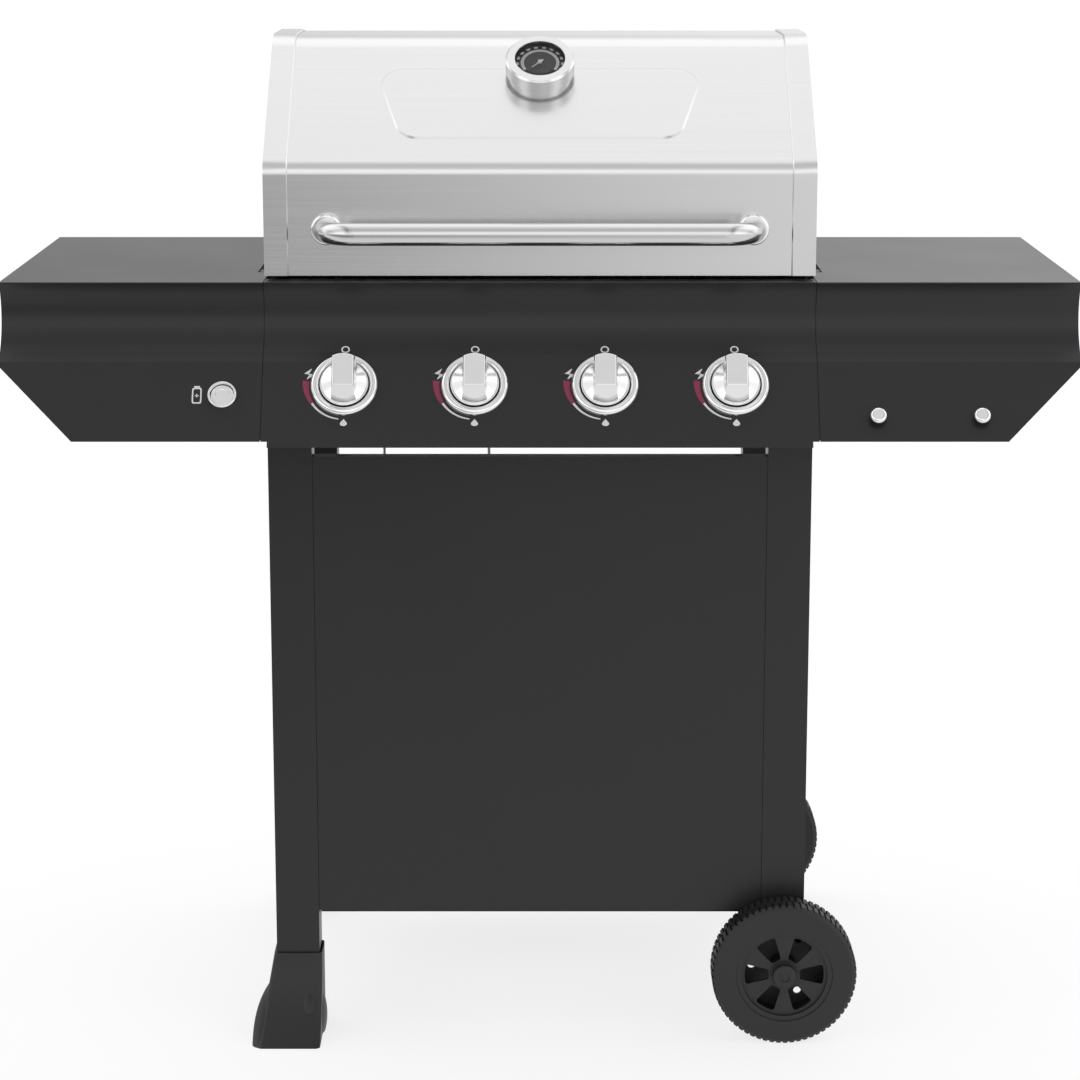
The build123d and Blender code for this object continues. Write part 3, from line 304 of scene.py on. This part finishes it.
def on_panel(spots):
    """Points on the panel's front, from across + up * 1j, raised by the ink's thickness: the
    facet below the brow, then the scoop's straight lip, then its arc about a centre in front."""
    up = spots.imag
    lip = abs(scoop_foot - brow)
    lip_way = (scoop_foot - brow) / lip
    chord = scoop_head - scoop_foot
    radius = (abs(chord) ** 2 / 4 + scoop_sag**2) / (2 * scoop_sag)
    centre = (scoop_head + scoop_foot) / 2 + 1j * chord / abs(chord) * (radius - scoop_sag)
    arc = centre + (scoop_foot - centre) * np.exp(1j * (up - lip) / radius)
    zones = [up < 0, up < lip]
    front = np.select(zones, [brow + up * facet_way, brow + up * lip_way], arc)
    out = np.select(zones, [1j * facet_way, 1j * lip_way], (centre - arc) / radius)
    front = front + ink * out
    return np.stack((spots.real, front.real, front.imag), -1)


def print_piece(name, bands, lay, body, material):
    """Printed marks: each band is the strip between two lines of as many points each, a closed
    one runs round to its start, and lay puts the points on the printed surface."""
    points, quads, start = [], [], 0
    for outer, inner, closed in bands:
        lines = np.stack((outer, inner))
        index = start + np.arange(lines.size).reshape(lines.shape)
        if closed:
            index = np.hstack((index, index[:, :1]))
        quads.append(np.stack((index[0, :-1], index[0, 1:], index[1, 1:], index[1, :-1]), -1))
        points.append(lay(lines.ravel()))
        start += lines.size
    mesh = bpy.data.meshes.new(name)
    mesh.from_pydata(np.concatenate(points).tolist(), [], np.concatenate(quads).tolist())
    mesh.materials.append(material)
    piece = bpy.data.objects.new(name, mesh)
    bpy.context.collection.objects.link(piece)
    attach(piece, body)


def arc_band(start, end, radius, widths, count=40):
    """Band round the origin between two angles in degrees; its width runs between two values."""
    turn = np.exp(1j * np.radians(np.linspace(start, end, count)))
    width = np.linspace(widths[0], widths[1], count)
    return (radius + width) * turn, radius * turn, False


def ring_band(radius, width, count=48):
    """Closed ring about the origin."""
    turn = np.exp(2j * np.pi * np.arange(count) / count)
    return radius * turn, (radius - width) * turn, True


def spark_band(height, width):
    """Lightning mark: a slanted line with one step back, thin at both ends."""
    climb = np.array([0.0, 0.46, 0.54, 1.0])
    swing = np.array([-0.7, 0.9, -0.9, 0.7])
    half = width * np.array([0.08, 0.42, 0.42, 0.08])
    middle = width * swing / 2 + 1j * height * (climb - 0.5)
    return middle + half, middle - half, False


def flame_band(height, width, count=24):
    """Flame: a drop whose half width is the sine of a power of its height, so that it swells
    low and runs out to a point above."""
    climb = np.linspace(0.02, 0.98, count)
    swell = 0.62
    half = width / 2 * np.sin(np.pi * climb**swell)
    middle = 1j * height * (climb - 0.5)
    return middle + half, middle - half, False


def bar_band(width, height):
    """Upright bar about the origin."""
    ends = np.array([-0.5, 0.5]) * 1j * height
    return ends + width / 2, ends - width / 2, False


def frame_band(width, height, stroke, count=64):
    """Outline of a rounded upright box: an oval of small powers of cosine and sine, and the
    same drawn smaller."""
    squareness = 0.28
    turn = 2 * np.pi * np.arange(count) / count
    oval = np.sign(np.cos(turn)) * np.abs(np.cos(turn)) ** squareness
    rise = np.sign(np.sin(turn)) * np.abs(np.sin(turn)) ** squareness
    outer = width / 2 * oval + 0.5j * height * rise
    inner = (width / 2 - stroke) * oval + 1j * (height / 2 - stroke) * rise
    return outer, inner, True


def moved(band, spot):
    """The same band about another place."""
    outer, inner, closed = band
    return outer + spot, inner + spot, closed


def painted(name, shade, gloss):
    """Ink or paint with a faint unevenness in its shade and gloss."""
    material, wire, shader = new_finish(name)
    cloud = wire.noise(scale=150.0)
    cloud.tint(shade, least=0.85).into(shader["Base Color"])
    (gloss + 0.1 * cloud).into(shader["Roughness"])
    return material


knob_places = [joint["pos_m"] for joint in knob_joints]
knob_spots = [complex(x, -abs(complex(y, z) - brow)) for x, y, z in knob_places]
knob_white = [
    arc_band(start=211, end=262, radius=0.0398, widths=(0.0026, 0.0014)),
    moved(ring_band(radius=0.0048, width=0.0017), spot=0.0472j),
    moved(spark_band(height=0.0125, width=0.0066), spot=-0.0391 + 0.0142j),
    moved(flame_band(height=0.0085, width=0.0078), spot=-0.0445j),
]
knob_red = arc_band(start=172, end=211, radius=0.0392, widths=(0.0075, 0.004))
battery = [
    frame_band(width=0.0108, height=0.0192, stroke=0.0016),
    moved(bar_band(width=0.0062, height=0.0022), spot=0.0106j),
    bar_band(width=0.0011, height=0.0042),
    bar_band(width=0.0042, height=0.0011),
]
battery_offset = -0.0285 + 0.001j
button_low, button_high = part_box("igniter_button")
button_middle = (button_low + button_high) / 2
button_place = complex(button_middle.y, button_middle.z)
button_up = ((button_place - brow) * facet_way.conjugate()).real
battery_spot = complex(button_middle.x, button_up) + battery_offset
white_bands = [moved(band, spot) for spot in knob_spots for band in knob_white]
white_bands += [moved(band, battery_spot) for band in battery]
red_bands = [moved(knob_red, spot) for spot in knob_spots]
print_white = painted("print_white", shade=(0.66, 0.66, 0.66), gloss=0.4)
print_red = painted("print_red", shade=(0.23, 0.016, 0.055), gloss=0.4)
print_piece("panel_white_marks", white_bands, on_panel, "cart", print_white)
print_piece("panel_red_marks", red_bands, on_panel, "cart", print_red)


# Knobs and their bezels, igniter and tool hooks.
# Die-cast zinc, polished and chromed; the knobs have a satin chrome.
knob_chrome = chrome_plate("knob_chrome", bright=0.84, gloss=0.15)
coat(chrome, "knob_bezels", "igniter_module", "igniter_button", "tool_hooks")
coat(knob_chrome, *[f"control_knob_{number}" for number in range(1, 5)])


# Lid: a folded panel with a pressed field between two end caps, and a tube handle.
# Stainless sheet with a fine brushed grain that runs from side to side, as on the handle,
# which is held by two chromed bosses.
def brushed_stainless(name, shade, gloss):
    """Stainless: long fine streaks along x in the shade, the gloss and the relief."""
    material, wire, shader = new_finish(name, Metallic=1.0)
    streak = wire.streaks(stretch=(2.2, 900.0, 900.0), detail=5.0)
    streak.tint(shade, least=0.9).into(shader["Base Color"])
    (gloss + 0.12 * streak).into(shader["Roughness"])
    streak.relief(depth=0.000004).into(shader["Normal"])
    return material


stainless = brushed_stainless("stainless", shade=(0.68, 0.68, 0.68), gloss=0.17)
tube_steel = brushed_stainless("tube_steel", shade=(0.62, 0.62, 0.62), gloss=0.1)
# Slope, rise and bend radius are those of the solids; the ease and the leans are added here.
# The field's half size and the run of its edge are across + up the slope * 1j.
lid_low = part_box("lid_panel")[0]
lid_slope = math.radians(39.0)
front_rise = 0.121
bend_radius = 0.008
bend_ease = 0.012
slope_way = complex(-math.sin(lid_slope), math.cos(lid_slope))
bend_way = (slope_way - 1) / abs(slope_way - 1)
bend_half = abs(np.angle(slope_way / bend_way))
bend_corner = complex(lid_low.y, lid_low.z + front_rise)
bend_centre = bend_corner - bend_way * bend_radius / math.cos(bend_half)
eased_centre = bend_centre - bend_way * bend_ease / math.cos(bend_half)
field_half = complex(0.171, 0.0555)
field_middle = 0.1015
field_height = 0.0015
side_lean, low_lean = math.radians(45.0), math.radians(34.0)
field_run = complex(field_height / math.tan(side_lean), field_height / math.tan(low_lean))
crease = math.radians(18.0)


def eased_bend(side):
    """Wider front bend, on points y + z * 1j: each point of the bend keeps its angle about the
    bend's centre, its radius grows by the ease, and the centre moves in so that both flat
    sides stay."""
    slack = 0.01
    arm = side - bend_centre
    reach = np.abs(arm)
    turned = np.abs(np.angle(arm / bend_way))
    bent = (turned < bend_half + slack) & (reach < 2 * bend_radius)
    return np.where(bent, eased_centre + arm * (1 + bend_ease / reach), side)


def leaning_field(across, side):
    """Pressed field with a leaning edge: the points at the foot of its edge, which lie on the
    slope, move out from the field's middle in proportion to their distance from it."""
    margin = 1.2
    on_slope = field_height / 10
    rest = (side - bend_corner) * 1j / slope_way
    along = rest.real - field_middle
    near = np.abs(across) < margin * field_half.real
    near &= np.abs(along) < margin * field_half.imag
    foot = near & (np.abs(rest.imag) < on_slope)
    wider = across * (1 + field_run.real / field_half.real)
    longer = side - 1j * slope_way * along * field_run.imag / field_half.imag
    return np.where(foot, wider, across), np.where(foot, longer, side)


def eased_sheet(name, node):
    """Copy of a folded piece, its doubles merged, with the wider bend and the leaning field."""
    mesh = frame["nodes"][node].data.copy()
    merged = bmesh.new()
    merged.from_mesh(mesh)
    bmesh.ops.remove_doubles(merged, verts=merged.verts, dist=1e-6)
    merged.to_mesh(mesh)
    merged.free()
    if "custom_normal" in mesh.attributes:
        mesh.attributes.remove(mesh.attributes["custom_normal"])
    points = np.empty(3 * len(mesh.vertices))
    mesh.vertices.foreach_get("co", points)
    across, back, height = points.reshape(-1, 3).T
    across, side = leaning_field(across, eased_bend(back + 1j * height))
    points = np.stack((across, side.real, side.imag), -1)
    mesh.vertices.foreach_set("co", points.ravel())
    mesh.shade_smooth()
    mesh.set_sharp_from_angle(angle=crease)
    piece = bpy.data.objects.new(name, mesh)
    bpy.context.collection.objects.link(piece)
    even = piece.modifiers.new("even", "WEIGHTED_NORMAL")
    even.keep_sharp = True
    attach(piece, "lid")
    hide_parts(node)


coat(stainless, "lid_panel", "left_lid_end_cap", "right_lid_end_cap")
eased_sheet("folded_lid_panel", "lid_panel")
eased_sheet("left_lid_end", "left_lid_end_cap")
eased_sheet("right_lid_end", "right_lid_end_cap")
coat(tube_steel, "lid_handle")
coat(chrome, "handle_bosses")
coat(plain_steel, "hinge_pins")


# Thermometer: dial, needle and lens in a chromed bezel.
# Printed aluminium dial with a grey field, a dark margin, a scale arc and dashes, a painted
# pointer and a flat glass under the bezel's lip.
needle_joint = next(joint for joint in frame["joints"] if joint["name"] == "gauge_needle_turn")
dial_out = -np.array(needle_joint["axis"])
dial_across = np.array((1.0, 0.0, 0.0))
dial_up = np.cross(dial_out, dial_across)
dial_low, dial_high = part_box("gauge_dial")
dial_half_thickness = 0.0005
dial_middle = np.array((dial_low + dial_high) / 2)
dial_open_share = 0.96
dial_radius = dial_open_share * (dial_high.x - dial_low.x) / 2
field_edge, margin_edge = 0.6 * dial_radius, 0.63 * dial_radius
scale_radius, scale_width = 0.64 * dial_radius, 0.13 * dial_radius
dash_radius, dash_width = 0.84 * dial_radius, 0.1 * dial_radius
scale_start, scale_end, dashes = -35.0, 215.0, 12


def on_dial(spots):
    """Points on the dial's face, from across + up * 1j, raised by the ink's thickness."""
    rise = dial_middle + (dial_half_thickness + ink) * dial_out
    return rise + spots.real[:, None] * dial_across + spots.imag[:, None] * dial_up


def dial_paint():
    """Dial: grey within three fifths of its radius, nearly black outside; the grey is grained."""
    material, wire, shader = new_finish("dial_face", Roughness=0.5)
    grain = wire.noise(scale=2600.0, detail=2.0)
    ends = {0: wire.place(), 1: tuple(dial_middle)}
    arm = wire.node("VectorMath", {"operation": "SUBTRACT"}, ends)
    reach = wire.node("VectorMath", {"operation": "LENGTH"}, {0: arm}, "Value")
    margin = reach.rise(field_edge, margin_edge)
    tone = (1.0 - margin) * (0.85 + 0.15 * grain)
    tone.blend((0.006, 0.006, 0.006), (0.075, 0.075, 0.076)).into(shader["Base Color"])
    return material


def clear_glass():
    """Flat clear glass, with a trace of dust in its gloss."""
    material, wire, shader = new_finish("gauge_glass", Transmission_Weight=1.0, IOR=1.12)
    dust = wire.noise(scale=80.0)
    (0.01 + 0.02 * dust).into(shader["Roughness"])
    return material


step = (scale_end - scale_start) / dashes
scale_bands = [arc_band(scale_start, scale_end, scale_radius, (scale_width, scale_width))]
for number in range(dashes):
    first = scale_start + (number + 0.25) * step
    scale_bands.append(arc_band(first, first + step / 2, dash_radius, (dash_width, dash_width)))
print_piece("dial_marks", scale_bands, on_dial, "lid", print_white)
# The bezel's chrome is given a darker shade than the other chrome: painted shade that dims its
# reflection of the bright light overhead.
coat(chrome_plate("bezel_chrome_painted_dim", bright=0.66, gloss=0.12), "gauge_bezel")
coat(dial_paint(), "gauge_dial")
coat(painted("needle_white", shade=(0.85, 0.85, 0.85), gloss=0.4), "gauge_needle")
coat(clear_glass(), "gauge_lens")


# Studio: a pale floor without an edge, a white room with soft strips of light and a camera at
# the photo's place.
# The floor is matt, white round the object and grey far in front of it, with a soft shadow.
def flat_floor(half):
    """Square floor at ground level, half a side out each way from the middle."""
    mesh = bpy.data.meshes.new("floor")
    corners = [(-half, -half, 0), (half, -half, 0), (half, half, 0), (-half, half, 0)]
    mesh.from_pydata(corners, [], [(0, 1, 2, 3)])
    floor = bpy.data.objects.new("floor", mesh)
    bpy.context.collection.objects.link(floor)
    return floor


def floor_paint():
    """Matt floor: its shade falls off in front, more to the left; rays that see it find it
    partly lit from within, so that its shadow stays light."""
    grey_from, grey_to = 0.7, 3.2
    grey_left, grey_loss = 0.67, 0.68
    half_width = 1.6
    own_light = 0.78
    black, pale_paint, white = (0.0, 0.0, 0.0), (0.94, 0.94, 0.94), (1.0, 1.0, 1.0)
    material, wire, shader = new_finish("floor_paint", Roughness=0.9, Specular_IOR_Level=0.0)
    parts = {"Vector": wire.place()}
    across, back = [wire.node("SeparateXYZ", None, parts, axis) for axis in "XY"]
    front = (0.0 - back).rise(grey_from, grey_to)
    side = across.rise(-half_width, half_width)
    pale = 1.0 - front * (grey_left - grey_loss * side)
    pale.blend(black, pale_paint).into(shader["Base Color"])
    glow = wire.node("Emission", None, {"Color": pale.blend(black, white), "Strength": 1.0})
    kinds = ("Camera", "Glossy", "Transmission")
    direct, mirrored, through = [
        wire.node("LightPath", output=f"Is {kind} Ray") for kind in kinds
    ]
    seen = wire.maths("MAXIMUM", wire.maths("MAXIMUM", direct, mirrored), through)
    body = Wire(wire.tree, wire.tree.nodes["Principled BSDF"].outputs[0])
    both = wire.node("MixShader", None, {0: own_light * seen, 1: body, 2: glow})
    both.into(wire.tree.nodes["Material Output"].inputs["Surface"])
    return material


floor = flat_floor(half=60.0)
floor.data.materials.append(floor_paint())

# Each strip and dusk is a band of the angle up from the front horizon and over to the rear one,
# in degrees; lamps and flags at the sides are bands of the heading's share to the side.
world = bpy.data.worlds.new("studio")
bpy.context.scene.world = world
world.use_nodes = True
sky = Wire(world.node_tree)
heading = {"Vector": sky.node("TexCoord", output="Generated")}
across, back, height = [sky.node("SeparateXYZ", None, heading, axis) for axis in "XYZ"]
turn = sky.maths("ARCTAN2", height, 0.0 - back) * (180 / math.pi)
out = sky.maths("ABSOLUTE", across)
front_strip = 0.4 * turn.band(13, 26, soft=10)
front_dusk = 0.22 * turn.band(44, 66, soft=14)
overhead = 0.2 * turn.band(86, 132, soft=20)
top_strip = 0.3 * turn.band(108, 128, soft=14)
rear_dusk = turn.band(158, 180, soft=14) * (0.3 - 0.4 * across.rise(-0.25, 0.25))
side_lamps = 0.3 * (out.band(0.52, 0.8, soft=0.1) * turn.band(20, 120, soft=20))
side_flags = 0.4 * (out.band(0.27, 0.37, soft=0.06) * turn.band(20, 100, soft=20))
right_lift = 0.06 * across
level = 1.0 + front_strip - front_dusk + overhead + top_strip - rear_dusk
level = level + side_lamps - side_flags + right_lift
background = world.node_tree.nodes["Background"]
level.into(background.inputs["Strength"])
background.inputs["Color"].default_value = (1, 1, 1, 1)

look_down = math.radians(12.155)
camera_lens = bpy.data.cameras.new("camera")
camera_lens.sensor_width = 36.0
camera_lens.lens = 102.53
camera_lens.shift_y = 0.0042
camera_lens.clip_end = 300.0
camera = bpy.data.objects.new("camera", camera_lens)
camera.location = (0.0, -3.6375, 1.3237)
camera.rotation_euler = (math.pi / 2 - look_down, 0, 0)
bpy.context.collection.objects.link(camera)
bpy.context.scene.camera = camera
bpy.context.scene.view_settings.view_transform = "Standard"
